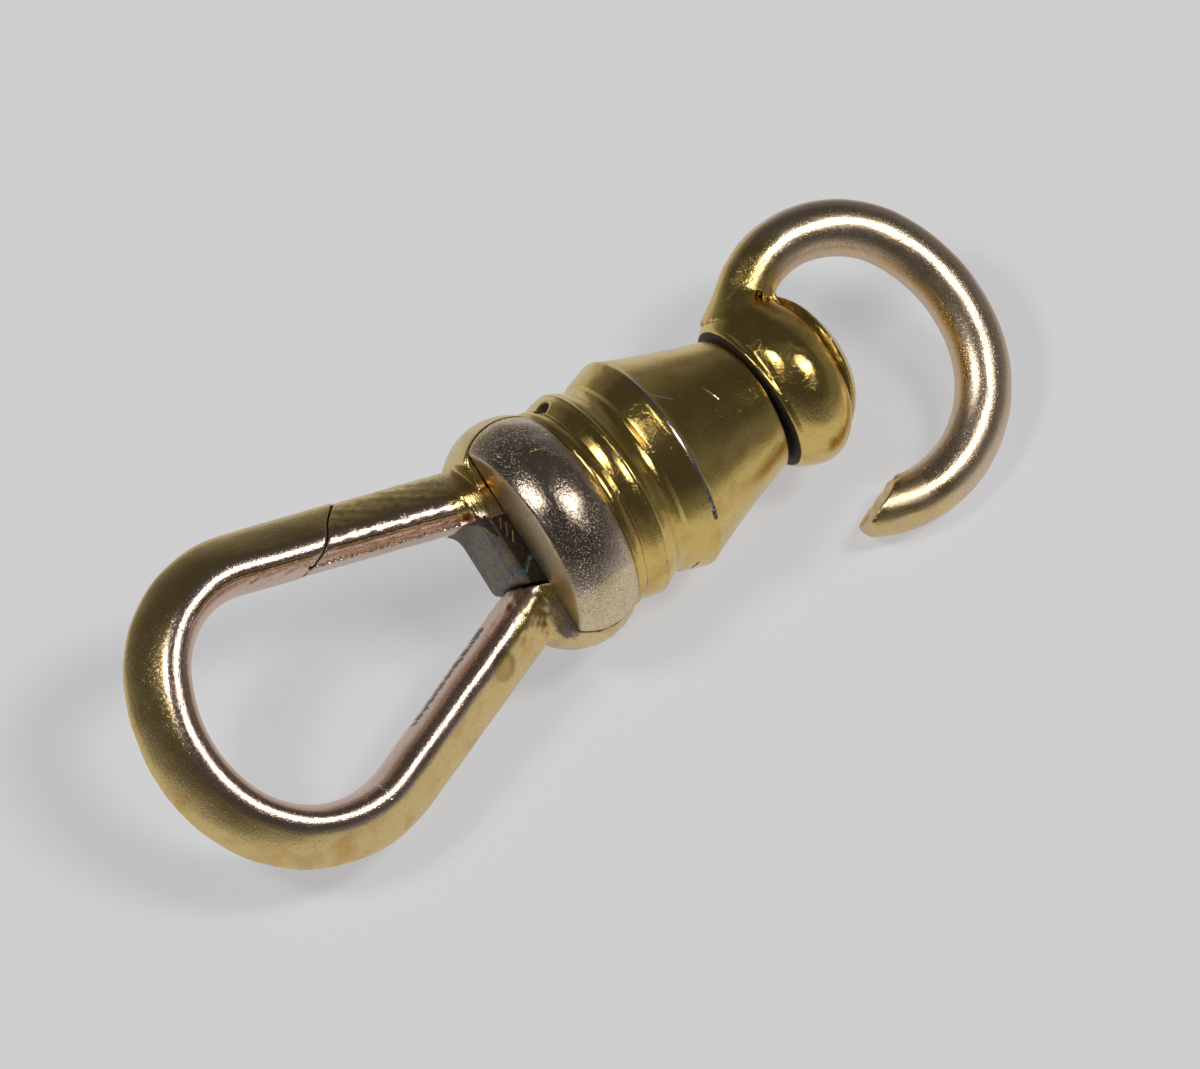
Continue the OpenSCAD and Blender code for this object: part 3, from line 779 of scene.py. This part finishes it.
loop_metal = metal(
    "loop_gold", GOLD, ROSE, rough=0.21, base_rough=0.22, bump=0.4, dots=0.2, strokes=[
        # The first two strokes are a painted reflection: a dark line and an orange line along the
        # ridge's inner side.
        (UMBER, (18.6, -0.42), (23.4, -0.47), 0.03, 0.05),
        (AMBER, (19.0, -0.48), (23.4, -0.53), 0.04, 0.06),
        (SOOT, (1.9, -0.87), (5.4, -0.87), 0.03, 0.13),
        (PALE, (7.76, -0.66), (7.80, -0.16), 0.05, 0.05),
        (UMBER, (2.52, 0.18), (2.62, 0.19), 0.42, 0.12),
        (OCHRE, (2.58, 0.18), (2.68, 0.19), 0.38, 0.12)])
gate_metal = metal(
    "gate_gold", GOLD, ROSE, rough=0.21, base_rough=0.22, bump=0.4, dots=0.2, strokes=[
        # The first two strokes are a painted reflection: a dark line and an orange line along the
        # ridge's inner side.
        (UMBER, (3.2, -0.40), (6.9, -0.45), 0.03, 0.05),
        (AMBER, (3.2, -0.46), (6.9, -0.52), 0.045, 0.06),
        (AMBER, (3.5, -0.70), (5.5, -0.68), 0.035, 0.12),
        # These two strokes are painted shade in the corner where the arm meets the web.
        ("grime_and_shade", (-5.66, 1.30, 1.2), (-5.44, 0.80, 1.2), 0.13, 0.10),
        ("grime_and_shade", (-5.44, 1.20, 1.2), (-5.40, 0.60, 1.2), 0.07, 0.10),
        (FRESH, (-5.23, 1.10, 1.2), (-5.05, 1.45, 1.2), 0.03, 0.06),
        (AMBER, (-5.20, 0.70, 1.2), (-5.05, 0.95, 1.2), 0.03, 0.03),
        (AMBER, (-5.16, 0.42, 1.2), (-4.98, 0.75, 1.2), 0.03, 0.03),
        (FRESH, (-5.10, 0.20, 1.2), (-4.95, 0.45, 1.2), 0.025, 0.03),
        ("green", (-5.65, -0.78, 0.3), (-5.64, -0.55, 1.07), 0.07, 0.14),
        ("green", (-5.60, -0.60, 1.2), (-5.27, -0.72, 1.2), 0.075, 0.14),
        ("green", (-5.27, -0.70, 1.2), (-4.88, -0.42, 1.2), 0.085, 0.14)])
barrel_metal = metal(
    "barrel_gold", DEEP_GOLD, SILVERED, rough=0.15, base_rough=0.16, bump=0.35, lines=0.2,
    dots=0.2, strokes=[
        (PALE, (0.20, 1.67), (0.62, 1.23), 0.025, 0.03),
        (PALE, (1.69, 1.03), (1.88, 0.50), 0.022, 0.03),
        ("grime_and_shade", (-0.64, -4.84), (-0.56, -4.33), 0.05, 0.05)])
collar_metal = metal(
    "collar_worn", COLLAR_GOLD, GREY_ROSE, rough=0.15, base_rough=0.12, bump=0.6, lines=0.4,
    dots=2.0, speckled=0.9, strokes=[
        (FRESH, (-3.85, 2.19), (-3.43, 2.07), 0.03, 0.03),
        (FRESH, (-4.5, 2.2, 1.26), (-4.1, 3.1, 1.26), 0.07, 0.08),
        # Painted reflections of the gate arm and of the fixed arm's root in the collar's front face.
        (PAINTED_REFLECTION_ORANGE, (-4.87, 1.75, 1.70), (-4.87, 1.95, 1.60), 0.36, 0.25),
        (PAINTED_REFLECTION_ORANGE, (-4.87, -1.30, 2.0), (-4.87, -1.45, 2.1), 0.14, 0.10)])
head_metal = metal(
    "swivel_gold", DEEP_GOLD, RING_ROSE, rough=0.13, base_rough=0.27, bump=0.35, dots=0.35,
    seam=True, strokes=[
        (FRESH, (0.06, 0.61), (0.70, 0.09), 0.05, 0.05),
        (FRESH, (0.70, 0.09), (1.35, -0.01), 0.05, 0.06),
        (FRESH, (7.5, -0.58), (8.6, -0.56), 0.02, 0.03)])


# ---------------------------------------------------------------- wear laid on the pieces
def dent(points, field, size, depth, seed):
    """Pushes a surface in and out by a slow unevenness; depth may differ from point to point."""
    _, slope = slope_of(field, points)
    out = slope / np.maximum(np.linalg.norm(slope, axis=1), 1e-6)[:, None]
    return points + out * (depth * ripple(points, size, seed))[:, None]


def ball(points, centre, sizes):
    """1 at a centre, falling to 0 at the given reach along each axis."""
    gap = np.sqrt((((points - np.array(centre)) / np.array(sizes)) ** 2).sum(1))
    return step(1.0, 0.4, gap)


def upper(points, first, second):
    """Marks laid along a piece, which only count on its upper side."""
    return np.stack([first, second, np.where(points[:, 2] > 0, 0.0, 9.0)], 1)


def drawn_grain(n, s, z):
    """Lines that run along a wire, as drawing it leaves them."""
    return np.stack([s * 0.5, n * 7, z * 7], 1)


# ---------------------------------------------------------------- the loop's fixed wire
points, faces = polygons(loop_field, (-18.4, -6.4, -1.4), (-2.6, 5.4, 1.4), GRAIN * 1.05)
n, s, _ = along_wire(loop_line, points[:, 0], points[:, 1])
x, y, z = points.T
rough_edge = step(0.25, 0.0, np.abs(n + 0.72)) * step(21.2, 21.6, s) * step(24.0, 23.4, s)
root = step(2.6, 1.0, s)
points = dent(points, loop_field, 0.3, 0.012 * rough_edge, 3)
points = dent(points, loop_field, 1.6, 0.008 * (x < -5.9), 4)
points = dent(points, loop_field, 0.4, 0.010 * root, 12)
joint_dirt = step(0.04, 0.01, np.abs(scarf_side(x, y, 1)) + (x < -12) * 1.0)
joint_dirt = joint_dirt * step(-12, -11.9, x) * (y > 0)
# Painted shade in the throat between the web and the fixed arm's root.
throat_shade = 0.9 * step(-1.35, -1.05, y) * step(-5.9, -5.3, x) * (y < 0)
root_patina = (0.55 * ball(points, (-5.0, -2.35, 1.1), (0.55, 1.3, 1.0))
               + 0.40 * ball(points, (-5.4, -2.75, 0.8), (0.5, 0.4, 0.9)))
marks = {
    "lay": upper(points, s, n),
    "grain": drawn_grain(n, s, z),
    "bare": 0.5 + (0.05 - n) * 2.2 - 0.9 * root,
    "grime_and_shade": np.maximum(joint_dirt, throat_shade),
    "patina": root_patina,
    "matt": 0.05 * root,
}
piece("loop_wire", points, faces, "body", loop_metal, marks, "fixed_hook")

# ---------------------------------------------------------------- the gate, with file marks at its root
points, faces = polygons(gate_field, (-11.2, -1.6, -1.4), (-2.7, 4.4, 1.4), GRAIN * 0.9)
n, s, _ = along_wire(gate_line, points[:, 0], points[:, 1])
x, y, z = points.T
filed = step(6.9, 7.1, s) * step(-0.75, -0.55, n) * step(0.35, 0.1, n) * (z > 0.3)
points = dent(points, gate_field, 0.4, 0.006 * (s < 6.9), 5)
FILE_PITCH, FILE_DEPTH = 0.155, 0.014
stripes = np.sin((s + 0.35 * n) * 2 * math.pi / FILE_PITCH)
_, slope = slope_of(gate_field, points)
points = points + slope * (FILE_DEPTH * stripes * filed)[:, None]
webbed = step(-0.72, -0.90, n) * step(-6.2, -5.9, x)
# Painted shade, with some dirt, along the web's side next to the near cheek and in the corner between
# the arm and the web.
web_dirt_and_shade = np.maximum(0.85 * step(-5.42, -5.2, x), 0.8 * step(-1.08, -0.8, n))
marks = {
    "lay": upper(points, s, n),
    "grain": drawn_grain(n, s, z),
    "bare": 0.5 + (0.05 - n) * 2.2 - 1.4 * step(6.6, 7.0, s) * step(-0.9, -0.7, n),
    "grime_and_shade": np.maximum(step(0.04, 0.01, np.abs(scarf_side(x, y, -1))), webbed * (z > 0.9) * web_dirt_and_shade),
    "patina": 0.95 * webbed,
    "matt": 0.10 * webbed,
}
piece("gate_arm", points, faces, "gate", gate_metal, marks, "gate")

# ---------------------------------------------------------------- the collar, worn to its base metal
points, faces = polygons(collar_field, (-5.1, -3.8, -3.8), (-1.6, 3.8, 3.8), GRAIN)
x, y, z = points.T
r = np.hypot(y, z)
turn = np.arctan2(y, z)
front = step(COLLAR_FACE + 0.05, COLLAR_FACE + 0.01, x)
pin_end = (ball(points, (PIN_X, PIN_Y, 3.0), (0.9, 0.9, 0.9))
           + ball(points, (PIN_X, PIN_Y, -3.0), (0.9, 0.9, 0.9)))
points = dent(points, collar_field, 1.3, 0.010 * (r > 3.1) * (1 - pin_end), 6)
y, z = points[:, 1] * (1 + 0.006 * pin_end), points[:, 2] * (1 + 0.006 * pin_end)
points = np.stack([x, y, z], 1)
worn = 1.1 - 1.2 * step(-2.95, -2.5, x) - front - 1.2 * step(-1.9, -2.3, y) - 1.2 * step(2.8, 3.2, y)
slot_edge = step(SLOT_W / 2 + 0.12, SLOT_W / 2 - 0.02, np.abs(z))
marks = {
    "lay": upper(points, x, r * turn),
    "grain": np.where(front[:, None] > 0.5, np.stack([x, y * 0.8, z * 11], 1),
                      np.stack([x * 7, np.cos(turn) * 3, np.sin(turn) * 3], 1)),
    "bare": worn,
    # Darker on the slot's walls just inside the rim.
    "grime_and_shade": slot_edge * step(3.45, 3.25, r) * 0.9,
    "matt": 0.22 * front,
}
piece("collar_ring", points, faces, "body", collar_metal, marks, "collar")

# ---------------------------------------------------------------- the barrel, with a pit in its bead
points, faces = turn_profile(barrel_profile(), 300)
x, y, z = points.T
r = np.hypot(y, z)
turn = np.arctan2(y, z)
PIT_AT = (-2.23, 2.93, 1.08)
outside = r > SPRING_BORE + 0.02
sway = 1 + (0.006 * ripple(points, 1.8, 7) + 0.0015 * ripple(points, 0.5, 8)) * outside / r
pit = 0.22 * ball(points, PIT_AT, (0.28, 0.24, 0.32))
points = np.stack([x, y * (sway - pit / r), z * (sway - pit / r)], 1)
shoulder = step(-0.10, -0.05, x + 0.03 * ripple(points, 0.5, 31)) * step(0.10, 0.04, x)
bead_edge = step(-1.78, -1.74, x) * step(-1.68, -1.72, x)
marks = {
    "lay": upper(points, x, r * turn),
    "grain": np.stack([x * 16, np.cos(turn) * 1.5, np.sin(turn) * 1.5], 1),
    "bare": 0.9 * shoulder * step(-2.6, -1.8, y) * step(2.9, 2.2, y) * (z > 0) + 0.35 * bead_edge,
    # Darker in the two grooves, on the worn shoulder's lower end, on the end face that looks into the
    # gap to the swivel, and in the pit.
    "grime_and_shade": np.maximum.reduce([
        0.42 * step(0.04, 0.01, np.abs(x + 2.395)),
        0.45 * step(0.04, 0.01, np.abs(x + 1.79)),
        0.62 * shoulder * step(-0.9, -1.4, y) * step(-2.7, -2.2, y) * (z > 0),
        1.0 * (x > CONE_LEN - 0.005),
        3.0 * ball(points, PIT_AT, (0.28, 0.25, 0.34))]),
    "matt": 0.05 * shoulder,
}
piece("barrel_shell", points, faces, "body", barrel_metal, marks, "barrel")

# ---------------------------------------------------------------- the swivel head, with its nipped tip
points, faces = polygons(head_field, (1.8, -6.0, -2.7), (11.6, 4.6, 2.7), GRAIN * 0.95)
n, s, off = along_ring(points[:, 0], points[:, 1])
x, y, z = points.T
lx, ly = head_axes(x, y)
from_wire = np.hypot(off, z)
on_wire = step(1.35, 1.05, from_wire) * (s > -0.8) * (s < 17)
seam_at = drum_seam(x, y, z)
no_seam = (on_wire > 0.5) & (from_wire < 1.0) | (x > 6.3) | (y < -2.9)
tip = step(6.5, 6.1, x) * (y < -3)
nip = step(0.12, 0.0, np.abs((y + 4.35) * 0.906 - (x - 5.2) * 0.4226))
points = dent(points, head_field, 0.35, 0.020 * tip * nip, 9)
points = dent(points, head_field, 1.1, 0.005 * (x > 3.6), 10)
wire_worn = np.clip(0.5 + 0.22 * (s - 1.6), -1, 1.1)
marks = {
    "lay": upper(points, s, n),
    "grain": np.where(on_wire[:, None] > 0.5, drawn_grain(n, s, z),
                      np.stack([lx * 5, ly * 1.5, z * 1.5], 1)),
    "bare": np.where(on_wire > 0.5, wire_worn, 0.0) - 0.62 * step(8.4, 6.2, x) * (y < -3),
    "matt": 0.10 * tip + 0.12 * on_wire * step(2.2, 0.8, s),
    # The drum's near face, in the narrow gap to the barrel, is made dark.
    "grime_and_shade": 1.0 * step(NEAR_FACE + 0.12, NEAR_FACE + 0.05, lx),
    "seam": seam_at + 3 * np.sign(seam_at) * no_seam,
}
piece("swivel_head", points, faces, "swivel", head_metal, marks, "swivel_hook")

# ---------------------------------------------------------------- small pieces that keep their CAD form
for node, colour, rough in (("gate_pin", (0.66, 0.54, 0.34, 1), 0.25),
                            ("gate_spring", (0.50, 0.49, 0.48, 1), 0.30),
                            ("rivet_washer", (0.70, 0.56, 0.30, 1), 0.25)):
    kept = frame["nodes"][node].data.materials
    kept.clear()
    kept.append(plain_metal(node + "_metal", colour, rough))


# ---------------------------------------------------------------- the pale table
table_mesh = bpy.data.meshes.new("table")
reach = 3.0
table_mesh.from_pydata([(-reach, -reach, 0), (reach, -reach, 0), (reach, reach, 0), (-reach, reach, 0)],
                       [], [(0, 1, 2, 3)])
table = bpy.data.objects.new("table", table_mesh)
bpy.context.scene.collection.objects.link(table)
paper = bpy.data.materials.new("table_white")
paper.use_nodes = True
paper_shader = paper.node_tree.nodes["Principled BSDF"]
paper_shader.inputs["Base Color"].default_value = (0.86, 0.86, 0.87, 1)
paper_shader.inputs["Roughness"].default_value = 0.6
paper_shader.inputs["Specular IOR Level"].default_value = 0.1
table_mesh.materials.append(paper)
pt = Tree(paper.node_tree)
path = pt.add("LightPath").outputs
seen = pt.math("MAXIMUM", path["Is Camera Ray"], path["Is Glossy Ray"])
glow = pt.add("Emission", {"Color": (0.98, 0.98, 1.0, 1), "Strength": 0.78})
soft = pt.add("MixShader", {0: pt.math("MULTIPLY", seen, 0.55), 1: paper_shader.outputs[0],
                            2: glow.outputs[0]})
origin = Vector(to_world(np.zeros((1, 3)))[0])


def table_distance(way):
    """How far a place on the table lies from the clasp's shoulder, along one of its axes."""
    at = pt.add("NewGeometry").outputs["Position"]
    along = pt.vector("DOT_PRODUCT", at, tuple(way), "Value")
    return pt.math("ADD", along, -float(way.dot(origin)))


# Seen in the metal, the paper ends a few centimetres off and the dim room begins.
far = pt.span(pt.math("ABSOLUTE", table_distance(direction(0, 1, 0))), 0.018, 0.040)
far = pt.math("MAXIMUM", far, pt.span(table_distance(direction(1, 0, 0)), 0.010, 0.022))
dim = pt.add("Emission", {"Color": (0.98, 0.97, 0.95, 1), "Strength": 0.16})
soft = pt.add("MixShader", {0: pt.math("MULTIPLY", far, path["Is Glossy Ray"]), 1: soft.outputs[0],
                            2: dim.outputs[0]})
paper_out = [node for node in paper.node_tree.nodes if node.type == "OUTPUT_MATERIAL"][0]
pt.set(paper_out.inputs["Surface"], soft.outputs[0])

# ---------------------------------------------------------------- the room's light
world = bpy.data.worlds.new("studio")
bpy.context.scene.world = world
world.use_nodes = True
wt = Tree(world.node_tree)
sky = wt.tree.nodes["Background"]
up = wt.add("SeparateXYZ", {0: wt.add("TexCoord").outputs["Generated"]}).outputs["Z"]
band = wt.span(up, 0.0, 0.35, 0.22, 0.06)
camera_ray = wt.add("LightPath").outputs["Is Camera Ray"]
wt.set(sky.inputs["Strength"], wt.math("MAXIMUM", band, wt.math("MULTIPLY", camera_ray, 0.62)))
sky.inputs["Color"].default_value = (1, 1, 1, 1)

AIM = np.array([-2.153, -0.935, -0.737])
aim_point = Vector(to_world(AIM[None])[0])


def lamp(name, toward, wide, high, distance, radiance):
    """A softbox that faces the clasp from a direction of the clasp's own axes; sizes in metres."""
    data = bpy.data.lights.new(name, "AREA")
    data.shape = "RECTANGLE"
    data.size, data.size_y = wide, high
    data.energy = radiance * math.pi * wide * high
    obj = bpy.data.objects.new(name, data)
    bpy.context.scene.collection.objects.link(obj)
    way = direction(*toward).normalized()
    obj.location = aim_point + way * distance
    tall = direction(0, 1, 0)
    side = tall.cross(way).normalized()
    tall = way.cross(side)
    obj.rotation_euler = Matrix((side, tall, way)).transposed().to_euler()


lamp("left_softbox", (-0.539, 0.505, 0.678), 0.08, 0.11, 0.5, 20.0)
lamp("right_softbox", (0.371, 0.105, 0.922), 0.15, 0.10, 0.5, 16.0)

# ---------------------------------------------------------------- the camera
VIEW_WIDTH, VIEW_DISTANCE = 33.84, 1000.0
camera_data = bpy.data.cameras.new("camera")
camera = bpy.data.objects.new("camera", camera_data)
bpy.context.scene.collection.objects.link(camera)
toward = direction(-0.3239, 0, 0.9460).normalized()
right = direction(0.8005, -0.5329, 0.2741).normalized()
over = toward.cross(right)
camera.location = aim_point + toward * VIEW_DISTANCE * MM
camera.rotation_euler = Matrix((right, over, toward)).transposed().to_euler()
camera_data.sensor_width = 36
camera_data.lens = camera_data.sensor_width * VIEW_DISTANCE / VIEW_WIDTH
camera_data.clip_start = 0.01
bpy.context.scene.camera = camera
bpy.context.scene.view_settings.view_transform = "Standard"
